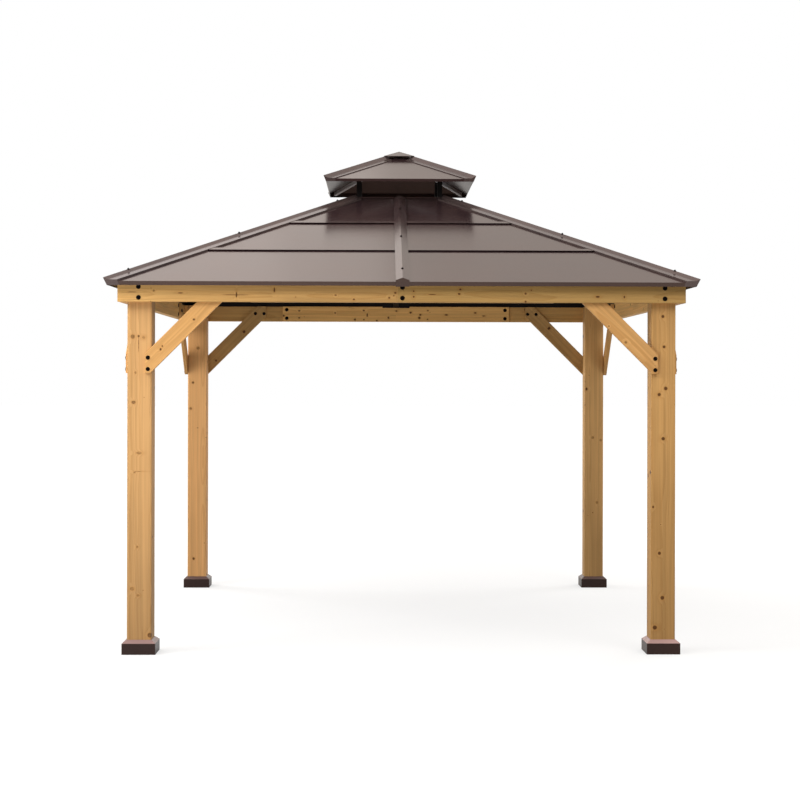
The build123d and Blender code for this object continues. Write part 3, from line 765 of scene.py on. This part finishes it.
def board_seed(value):
    """A figure of its own for each of the two boards of a beam."""

    def seed_of(tree, place, grain):
        beyond = maths(tree, "GREATER_THAN", parts_of(tree, grain)["X"], BEAM_SEAM)
        return maths(tree, "MULTIPLY_ADD", beyond, SECOND_BOARD_STEP, value)

    return seed_of


def brace_seed(value, turn):
    """A figure of its own for each brace of a pair."""

    def seed_of(tree, place, grain):
        beyond = maths(tree, "GREATER_THAN", on_side(tree, place, turn)["X"], 0.0)
        return maths(tree, "MULTIPLY_ADD", beyond, SECOND_BRACE_STEP, value)

    return seed_of


def ring_seed(value):
    """A figure of its own for each side's boards."""

    def seed_of(tree, place, grain):
        signs = vector_maths(tree, "SIGN", place)
        product = put(tree, "VectorMath", {0: signs, 1: BOARD_SIDE_STEPS}, operation="DOT_PRODUCT")
        return maths(tree, "ADD", product.outputs["Value"], value)

    return seed_of


def front_beam_falloff_tint(tree, place):
    """Tone of the two boards of the front beam, with painted light falling off away from its left end."""
    along = parts_of(tree, place)["X"]
    beyond = maths(tree, "GREATER_THAN", along, BEAM_SEAM)
    inwards = ramp(tree, along, BEAM_LOW.x, FIRST_TINT_END)
    first_board = blend(tree, "MIX", inwards, FIRST_END_TINT, FIRST_INNER_TINT)
    return blend(tree, "MIX", beyond, first_board, SECOND_TINT)


def coated_metal(name, colour, roughness, coat, dust_and_sheen=None):
    """Powder-coated sheet: slow changes of tone, fine speckle, the skin of the coat, and on up-facing faces
    settled dust with a painted sheen.
    """
    skin, gloss, glint = coat
    material, tree, surface = new_material(name)
    place = put(tree, "TexCoord").outputs["Object"]
    cloud = noise(tree, place, CLOUD_STEPS, ORIGIN, 4.0, 0.6)["Fac"]
    speckle = noise(tree, place, SPECKLE_STEPS)["Fac"]
    peel = noise(tree, place, SKIN_STEPS)["Fac"]
    warm = [channel * share for channel, share in zip(colour, WARM_SHARES)]
    cool = [channel * share for channel, share in zip(colour, COOL_SHARES)]
    clouded = blend(tree, "MIX", ramp(tree, cloud, 0.3, 0.7), opaque(cool), opaque(warm))
    tone = scaled(tree, clouded, ramp(tree, speckle, 0.3, 0.7, 0.86, 1.14))
    if dust_and_sheen is not None:
        # Up-facing faces paler: settled dust and a painted sheen of the light from above
        lean = parts_of(tree, put(tree, "NewGeometry").outputs["Normal"])["Z"]
        patchy = ramp(tree, cloud, 0.2, 0.8, 0.75, 1.0)
        dust_and_sheen_mask = maths(tree, "MULTIPLY", ramp(tree, lean, 0.25, 0.75), patchy)
        tone = blend(tree, "MIX", dust_and_sheen_mask, tone, opaque(dust_and_sheen))
    relief = put(tree, "Bump", {"Height": peel, "Distance": skin, "Strength": 0.5})
    feed(tree, tone, surface["Base Color"])
    feed(tree, maths(tree, "MULTIPLY_ADD", cloud, 0.10, roughness - 0.05), surface["Roughness"])
    feed(tree, relief.outputs["Normal"], surface["Normal"])
    surface["Specular IOR Level"].default_value = gloss
    surface["Specular Tint"].default_value = glint
    return material


def fixing_material():
    """Black coat of the bolts and screws, made once."""
    name = "black_fixing_coat"
    if name in bpy.data.materials:
        return bpy.data.materials[name]
    metal = bpy.context.scene.gazebo_metal
    return coated_metal(name, metal.fixing_colour, metal.steel_roughness, FIXING_COAT)


def keep_mesh(shape, name):
    """Mesh data from a finished bmesh."""
    mesh = bpy.data.meshes.new(name)
    shape.to_mesh(mesh)
    shape.free()
    return mesh


def edges_at(verts):
    """Edges that meet any of some vertices."""
    return list({edge for vert in verts for edge in vert.link_edges})


def extruded(shape, edges):
    """Extrude a loop of edges; returns the vertices and edges of the new loop."""
    grown = bmesh.ops.extrude_edge_only(shape, edges=edges)["geom"]
    ring = [item for item in grown if isinstance(item, bmesh.types.BMVert)]
    loop = [item for item in grown if isinstance(item, bmesh.types.BMEdge)]
    return ring, [edge for edge in loop if all(vert in ring for vert in edge.verts)]


def bolt_pattern(diameter):
    """Mesh of a low domed bolt head with a six-sided socket, seated at the origin and facing +Z."""
    fixings = bpy.context.scene.gazebo_fixings
    rise = fixings.bolt_rise
    radius = diameter / 2
    shape = bmesh.new()
    circle = bmesh.ops.create_circle(shape, segments=fixings.head_sides, radius=radius)["verts"]
    loop = edges_at(circle)
    for (wide, high), (next_wide, next_high) in zip(DOME_SHARES, DOME_SHARES[1:]):
        ring, loop = extruded(shape, loop)
        bmesh.ops.scale(shape, vec=(next_wide / wide, next_wide / wide, 1.0), verts=ring)
        bmesh.ops.translate(shape, vec=(0.0, 0.0, (next_high - high) * rise), verts=ring)
    hexagon = bmesh.ops.create_circle(
        shape, segments=6, radius=radius * SOCKET_SHARE, matrix=Matrix.Translation((0.0, 0.0, rise))
    )
    mouth = edges_at(hexagon["verts"])
    bmesh.ops.bridge_loops(shape, edges=loop + mouth)
    floor, floor_edges = extruded(shape, mouth)
    bmesh.ops.translate(shape, vec=(0.0, 0.0, -rise * SOCKET_DEPTH_SHARE), verts=floor)
    bmesh.ops.contextual_create(shape, geom=floor_edges)
    bmesh.ops.contextual_create(shape, geom=[edge for edge in edges_at(circle) if edge.is_boundary])
    bmesh.ops.recalc_face_normals(shape, faces=shape.faces)
    return keep_mesh(shape, "bolt_pattern")


def screw_pattern(washer, head, rise):
    """Mesh of a hexagon-headed roof screw on a cupped washer, seated at the origin and facing +Z."""
    washer_rise = rise * WASHER_RISE_SHARE
    head_rise = rise - washer_rise
    chamfer = head * CHAMFER_SHARE
    shape = bmesh.new()
    bmesh.ops.create_cone(
        shape,
        cap_ends=True,
        segments=WASHER_SIDES,
        radius1=washer / 2,
        radius2=washer * WASHER_TOP_SHARE,
        depth=washer_rise,
        matrix=Matrix.Translation((0.0, 0.0, washer_rise / 2)),
    )
    hexagon = bmesh.ops.create_cone(
        shape,
        cap_ends=True,
        segments=6,
        radius1=head / 2,
        radius2=head / 2,
        depth=head_rise,
        matrix=Matrix.Translation((0.0, 0.0, washer_rise + head_rise / 2)),
    )
    crown = [
        edge
        for edge in edges_at(hexagon["verts"])
        if all(vert.co.z > rise - chamfer for vert in edge.verts)
    ]
    bmesh.ops.bevel(
        shape, geom=crown, offset=chamfer, segments=2, profile=0.5, affect="EDGES", material=-1
    )
    return keep_mesh(shape, "screw_pattern")


def join_copies(name, pattern, places):
    """One piece of black fixings that holds a copy of a pattern at every place."""
    shape = bmesh.new()
    for place in places:
        start = len(shape.verts)
        shape.from_mesh(pattern)
        shape.verts.ensure_lookup_table()
        bmesh.ops.transform(shape, matrix=place, verts=shape.verts[start:])
    mesh = keep_mesh(shape, name)
    for polygon in mesh.polygons:
        polygon.use_smooth = True
    mesh.set_sharp_from_angle(angle=SHARP_ANGLE)
    mesh.materials.append(fixing_material())
    piece = bpy.data.objects.new(name, mesh)
    bpy.context.scene.collection.objects.link(piece)
    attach(piece, "root")


def on_face(turn, along, face, height, tilt):
    """Placement on a face of a side, tilted outwards or inwards."""
    spot = Matrix.Translation((along, face, height))
    return Matrix.Rotation(turn, 4, "Z") @ spot @ Matrix.Rotation(tilt, 4, "X")


def outward(turn):
    """Direction in which a side faces."""
    return Vector((math.sin(turn), -math.cos(turn), 0.0))


def surface_of(node):
    """Search tree of a CAD node's faces."""
    return BVHTree.FromObject(frame["nodes"][node], bpy.context.evaluated_depsgraph_get())


def seat_on_ridge(surface, place, along):
    """Placement on a folded ridge under a point of the plan, square to the ridge."""
    above = Vector((place.x, place.y, CAD_BOX[1][2] + HEADROOM))
    down = Vector((0.0, 0.0, -1.0))
    across = Vector((-along.y, along.x, 0.0)).normalized() * RIDGE_SPREAD
    spot, _, _, _ = surface.ray_cast(above, down)
    tilts = []
    for side in (across, -across):
        _, tilt, _, _ = surface.ray_cast(above + side, down)
        tilts.append(tilt)
    if spot is None or None in tilts:
        raise RuntimeError("no ridge under the screw")
    lean = (tilts[0] + tilts[1]).normalized()
    return Matrix.Translation(spot) @ lean.to_track_quat("Z", "Y").to_matrix().to_4x4()


def seen_white(tree):
    """One for rays from the camera, straight or through glass, and nought for the rest."""
    path = put(tree, "LightPath").outputs
    return maths(tree, "MAXIMUM", path["Is Camera Ray"], path["Is Transmission Ray"])


class GAZEBO_OT_finish_posts(Operator):
    """Give each post sawn cedar with its own grain, knots and tone"""

    bl_idname = "gazebo.finish_posts"
    bl_label = "Finish Posts"

    def execute(self, context):
        for index, corner in enumerate(CORNERS):
            name = f"{corner}_post"
            low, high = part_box(name)
            shift = POST_HEARTS[corner]
            heart = ((low.x + high.x) / 2 + shift[0], (low.y + high.y) / 2 + shift[1], 0.0)
            material = cedar_material(
                f"cedar_{name}",
                turned_grain(heart, (0.0, -math.pi / 2, 0.0)),
                plain_seed(nth_seed(POST_SEEDS, index)),
                POST_TINTS_WITH_LIGHT[corner],
                POST_KNOTS[corner],
                low.y,
                POST_BRANCH_SHARE,
                PAINTED_FOOT_SHADES[corner],
            )
            dress([name], material)
        return {"FINISHED"}


class GAZEBO_OT_finish_beams(Operator):
    """Give the two boards of each beam sawn cedar"""

    bl_idname = "gazebo.finish_beams"
    bl_label = "Finish Beams"

    def execute(self, context):
        for index, (side, turn) in enumerate(SIDES.items()):
            in_front = side == "front"
            heart = outward(turn) * (-BEAM_LOW.y - BEAM_HEART_DEPTH)
            heart.z = BEAM_MIDDLE - BEAM_HEART_DROP
            material = cedar_material(
                f"cedar_{side}_beam",
                turned_grain(heart, (math.pi / 2, 0.0, turn)),
                board_seed(nth_seed(BEAM_SEEDS, index)),
                front_beam_falloff_tint if in_front else BEAM_TINTS_WITH_LIGHT[side],
                BEAM_KNOTS if in_front else (),
                BEAM_LOW.y,
                FRONT_BRANCH_SHARE if in_front else ALL_BRANCHES,
            )
            dress([f"{side}_beam"], material)
        return {"FINISHED"}


class GAZEBO_OT_finish_braces(Operator):
    """Give each pair of braces sawn cedar with the grain along them"""

    bl_idname = "gazebo.finish_braces"
    bl_label = "Finish Braces"

    def execute(self, context):
        heart = (BRACE_HIGH.x, BRACE_LOW.z, -BRACE_LOW.y - BRACE_HEART_DEPTH)
        for index, (side, turn) in enumerate(SIDES.items()):
            in_front = side == "front"
            material = cedar_material(
                f"cedar_{side}_braces",
                brace_grain(turn, heart),
                brace_seed(nth_seed(BRACE_SEEDS, index), turn),
                BACK_BRACE_SHADE if side == "back" else BRACE_TINT,
                BRACE_KNOTS if in_front else (),
                BRACE_LOW.y,
                FRONT_BRANCH_SHARE if in_front else ALL_BRANCHES,
            )
            dress([f"{side}_braces"], material)
        return {"FINISHED"}


class GAZEBO_OT_finish_boards(Operator):
    """Give the splice boards and the packers on the posts sawn cedar"""

    bl_idname = "gazebo.finish_boards"
    bl_label = "Finish Boards"

    def execute(self, context):
        heart = (0.0, BEAM_MIDDLE + BOARD_HEART_RISE, -BRACE_LOW.y + BOARD_HEART_OUT)
        material = cedar_material(
            "cedar_boards",
            ring_grain(heart),
            ring_seed(BOARD_SEED),
            BOARD_TINT,
            BOARD_KNOTS,
            -BRACE_HIGH.y,
            BOARD_BRANCH_SHARE,
        )
        dress(["splice_boards", "post_packers"], material)
        return {"FINISHED"}


class GAZEBO_OT_finish_roof(Operator):
    """Give the roof sheets, covers and cap their brown coats"""

    bl_idname = "gazebo.finish_roof"
    bl_label = "Finish Roof Sheets"

    def execute(self, context):
        metal = context.scene.gazebo_metal
        sheet = coated_metal("brown_roof_coat", metal.roof_colour, metal.roof_roughness, ROOF_COAT)
        dress(nodes_in_slot("roof_metal"), sheet)
        cover = coated_metal("brown_cover_coat", metal.cover_colour, metal.roof_roughness, COVER_COAT)
        dress([f"{corner}_hip_cap" for corner in CORNERS] + ["upper_hip_caps"], cover)
        return {"FINISHED"}


class GAZEBO_OT_finish_bases(Operator):
    """Give the covers at the feet of the posts their brown coat, with dust and a painted sheen on their
    sloping tops
    """

    bl_idname = "gazebo.finish_bases"
    bl_label = "Finish Post Bases"

    def execute(self, context):
        metal = context.scene.gazebo_metal
        for corner in CORNERS:
            name = f"brown_{corner}_base_coat"
            dust_and_sheen = metal.dust_and_sheen_colour * DUST_AND_SHEEN_SHARES[corner]
            material = coated_metal(name, metal.base_colour, metal.base_roughness, BASE_COAT, dust_and_sheen)
            dress([f"{corner}_post_base"], material)
        return {"FINISHED"}


class GAZEBO_OT_finish_steel(Operator):
    """Give the steelwork its near-black coat, and the rafters under the raised roof a pale one that holds a
    painted highlight
    """

    bl_idname = "gazebo.finish_steel"
    bl_label = "Finish Steelwork"

    def execute(self, context):
        metal = context.scene.gazebo_metal
        dark = coated_metal("dark_steel_coat", metal.steel_colour, metal.steel_roughness, STEEL_COAT)
        dress(nodes_in_slot("dark_steel"), dark)
        # The pale rafters: bright steel with a painted highlight
        bright = coated_metal("satin_steel", metal.satin_and_highlight_colour, metal.satin_roughness, SATIN_COAT)
        dress(["upper_rafters"], bright)
        return {"FINISHED"}


class GAZEBO_OT_beam_bolts(Operator):
    """Bolt the beams to the posts and to the splice boards"""

    bl_idname = "gazebo.beam_bolts"
    bl_label = "Beam Bolts"

    def execute(self, context):
        fixings = context.scene.gazebo_fixings
        pattern = bolt_pattern(fixings.beam_bolt)
        rows = (BEAM_LOW.z + fixings.bolt_inset, BEAM_HIGH.z - fixings.top_inset)
        for side, turn in SIDES.items():
            places = [
                on_face(turn, along, BEAM_LOW.y, height, OUTWARDS)
                for along in (-POST_PLACE, 0.0, POST_PLACE)
                for height in rows
            ]
            join_copies(f"{side}_beam_bolts", pattern, places)
        return {"FINISHED"}


class GAZEBO_OT_splice_bolts(Operator):
    """Bolt the ends of the splice boards through to the beams"""

    bl_idname = "gazebo.splice_bolts"
    bl_label = "Splice Bolts"

    def execute(self, context):
        fixings = context.scene.gazebo_fixings
        pattern = bolt_pattern(fixings.beam_bolt)
        rows = (BEAM_LOW.z + fixings.bolt_inset, BEAM_HIGH.z - fixings.bolt_inset)
        reach = self.splice_half() - SPLICE_END_INSET
        for side, turn in SIDES.items():
            places = [
                on_face(turn, along, BRACE_HIGH.y, height, INWARDS)
                for along in (-reach, reach)
                for height in rows
            ]
            join_copies(f"{side}_splice_bolts", pattern, places)
        return {"FINISHED"}

    def splice_half(self):
        """Half the length of the splice board at the front."""
        verts = frame["nodes"]["splice_boards"].data.vertices
        return max(vert.co.x for vert in verts if vert.co.y < SPLICE_FRONT + FACE_TOLERANCE)


class GAZEBO_OT_brace_bolts(Operator):
    """Bolt the braces to the posts outside and to the beams inside"""

    bl_idname = "gazebo.brace_bolts"
    bl_label = "Brace Bolts"

    def execute(self, context):
        pattern = bolt_pattern(context.scene.gazebo_fixings.brace_bolt)
        brace_head = self.brace_head()
        for side, turn in SIDES.items():
            places = []
            for mirror in (-1.0, 1.0):
                for rise in BRACE_FOOT_RISES:
                    along = mirror * (BRACE_HIGH.x - BRACE_EDGE_INSET)
                    height = BRACE_LOW.z + rise
                    places.append(on_face(turn, along, BRACE_LOW.y, height, OUTWARDS))
                for inset in BRACE_HEAD_INSETS:
                    along = mirror * (brace_head + inset)
                    height = BRACE_HIGH.z - BRACE_HEAD_DROP
                    places.append(on_face(turn, along, BRACE_HIGH.y, height, INWARDS))
            join_copies(f"{side}_brace_bolts", pattern, places)
        return {"FINISHED"}

    def brace_head(self):
        """Distance of the front braces' heads from the middle."""
        return min(abs(vert.co.x) for vert in frame["nodes"]["front_braces"].data.vertices)


class GAZEBO_OT_roof_screws(Operator):
    """Screw the hip covers and the middle covers down to the rafters"""

    bl_idname = "gazebo.roof_screws"
    bl_label = "Roof Screws"

    def execute(self, context):
        fixings = context.scene.gazebo_fixings
        pattern = screw_pattern(fixings.screw_washer, fixings.screw_head, fixings.screw_rise)
        for corner in CORNERS:
            surface = surface_of(f"{corner}_hip_cap")
            along = Vector((1.0 if "right" in corner else -1.0, 1.0 if "back" in corner else -1.0, 0.0))
            places = [seat_on_ridge(surface, along * out, along) for out in HIP_SCREWS]
            join_copies(f"{corner}_hip_screws", pattern, places)
        for side, turn in SIDES.items():
            surface = surface_of(f"{side}_roof_rib")
            along = outward(turn)
            places = [seat_on_ridge(surface, along * out, along) for out in RIB_SCREWS]
            join_copies(f"{side}_rib_screws", pattern, places)
        return {"FINISHED"}


class GAZEBO_OT_set_stage(Operator):
    """Set the floor, the lights, the white surroundings and the camera"""

    bl_idname = "gazebo.set_stage"
    bl_label = "Set Stage"

    def execute(self, context):
        stage = context.scene.gazebo_stage
        self.lay_floor(context, stage)
        self.fill_world(context, stage)
        for name, light in LIGHTS.items():
            self.hang_light(context, f"{name}_light", getattr(stage, f"{name}_power"), *light)
        self.stand_camera(context, stage)
        context.scene.view_settings.view_transform = "Standard"
        return {"FINISHED"}

    def lay_floor(self, context, stage):
        """Pale floor that stays near white for the camera and keeps the gazebo's shadow."""
        shape = bmesh.new()
        bmesh.ops.create_grid(shape, x_segments=1, y_segments=1, size=stage.floor_size / 2)
        mesh = keep_mesh(shape, "studio_floor")
        material, tree, surface = new_material("pale_floor")
        place = put(tree, "TexCoord").outputs["Object"]
        grain = noise(tree, place, FLOOR_STEPS, ORIGIN, 3.0)["Fac"]
        pale = opaque(stage.floor_colour)
        paler = opaque([channel * 1.02 for channel in stage.floor_colour])
        feed(tree, blend(tree, "MIX", grain, pale, paler), surface["Base Color"])
        near = stage.shadow_reach
        glow = ramp(tree, length_of(tree, place), near, 2 * near, stage.shadow_glow, stage.floor_glow)
        glossy = put(tree, "LightPath").outputs["Is Glossy Ray"]
        mirrored = maths(tree, "MULTIPLY", glossy, stage.floor_sheen)
        seen = maths(tree, "MAXIMUM", seen_white(tree), mirrored)
        feed(tree, maths(tree, "MULTIPLY", seen, glow), surface["Emission Strength"])
        surface["Emission Color"].default_value = WHITE
        surface["Roughness"].default_value = 0.9
        surface["Specular IOR Level"].default_value = 0.0
        mesh.materials.append(material)
        floor = bpy.data.objects.new("studio_floor", mesh)
        context.scene.collection.objects.link(floor)

    def fill_world(self, context, stage):
        """White all round for the camera, and soft light from above and the backdrop for the rest."""
        world = bpy.data.worlds.new("studio_white")
        world.use_nodes = True
        tree = world.node_tree
        background = tree.nodes["Background"].inputs
        direction = parts_of(tree, put(tree, "TexCoord").outputs["Generated"])
        above = ramp(tree, direction["Z"], *OVERHEAD_RANGE, stage.horizon, stage.overhead)
        behind = ramp(tree, direction["Y"], *BACKDROP_RANGE, 0.0, stage.backdrop)
        sky = maths(tree, "MAXIMUM", above, behind)
        seen = seen_white(tree)
        unseen = maths(tree, "SUBTRACT", 1.0, seen)
        feed(tree, maths(tree, "MULTIPLY_ADD", unseen, sky, seen), background["Strength"])
        feed(tree, blend(tree, "MIX", seen, opaque(stage.sky_colour), WHITE), background["Color"])
        context.scene.world = world

    def hang_light(self, context, name, power, place, target, side, mirrored):
        """Square soft light that faces a point; smooth surfaces may mirror it."""
        lamp = bpy.data.lights.new(name, "AREA")
        lamp.shape = "SQUARE"
        lamp.size = side
        lamp.energy = power
        light = bpy.data.objects.new(name, lamp)
        light.location = place
        light.visible_camera = False
        light.visible_glossy = mirrored
        light.rotation_euler = (Vector(target) - Vector(place)).to_track_quat("-Z", "Y").to_euler()
        context.scene.collection.objects.link(light)

    def stand_camera(self, context, stage):
        """Level camera at the viewing place of the photograph."""
        lens = bpy.data.cameras.new("studio_camera")
        lens.lens = stage.lens
        lens.shift_x, lens.shift_y = stage.shift
        lens.clip_end = stage.floor_size
        camera = bpy.data.objects.new("studio_camera", lens)
        camera.location = stage.camera_place
        level = Matrix.Rotation(stage.camera_turn, 3, "Z") @ Matrix.Rotation(math.pi / 2, 3, "X")
        camera.rotation_euler = (level @ Matrix.Rotation(stage.camera_roll, 3, "Z")).to_euler()
        context.scene.collection.objects.link(camera)
        context.scene.camera = camera


class VIEW3D_PT_gazebo(Panel):
    """Steps that finish the gazebo"""

    bl_label = "Gazebo"
    bl_idname = "VIEW3D_PT_gazebo"
    bl_space_type = "VIEW_3D"
    bl_region_type = "UI"
    bl_category = "Gazebo"

    def draw(self, context):
        for operator in OPERATORS:
            self.layout.operator(operator.bl_idname)


OPERATORS = (
    GAZEBO_OT_finish_posts,
    GAZEBO_OT_finish_beams,
    GAZEBO_OT_finish_braces,
    GAZEBO_OT_finish_boards,
    GAZEBO_OT_finish_roof,
    GAZEBO_OT_finish_bases,
    GAZEBO_OT_finish_steel,
    GAZEBO_OT_beam_bolts,
    GAZEBO_OT_splice_bolts,
    GAZEBO_OT_brace_bolts,
    GAZEBO_OT_roof_screws,
    GAZEBO_OT_set_stage,
)
SETTINGS = {
    "gazebo_timber": GazeboTimber,
    "gazebo_metal": GazeboMetal,
    "gazebo_fixings": GazeboFixings,
    "gazebo_stage": GazeboStage,
}


def register():
    """Register the settings, the steps and their panel."""
    for name, settings in SETTINGS.items():
        bpy.utils.register_class(settings)
        setattr(bpy.types.Scene, name, PointerProperty(type=settings))
    for step in OPERATORS:
        bpy.utils.register_class(step)
    bpy.utils.register_class(VIEW3D_PT_gazebo)


def unregister():
    """Take the panel, the steps and the settings away again."""
    bpy.utils.unregister_class(VIEW3D_PT_gazebo)
    for step in reversed(OPERATORS):
        bpy.utils.unregister_class(step)
    for name, settings in reversed(SETTINGS.items()):
        delattr(bpy.types.Scene, name)
        bpy.utils.unregister_class(settings)


def main():
    """Finish the gazebo step by step."""
    register()
    bpy.ops.gazebo.finish_posts()
    bpy.ops.gazebo.finish_beams()
    bpy.ops.gazebo.finish_braces()
    bpy.ops.gazebo.finish_boards()
    bpy.ops.gazebo.finish_roof()
    bpy.ops.gazebo.finish_bases()
    bpy.ops.gazebo.finish_steel()
    bpy.ops.gazebo.beam_bolts()
    bpy.ops.gazebo.splice_bolts()
    bpy.ops.gazebo.brace_bolts()
    bpy.ops.gazebo.roof_screws()
    bpy.ops.gazebo.set_stage()


if __name__ == "__main__":
    main()
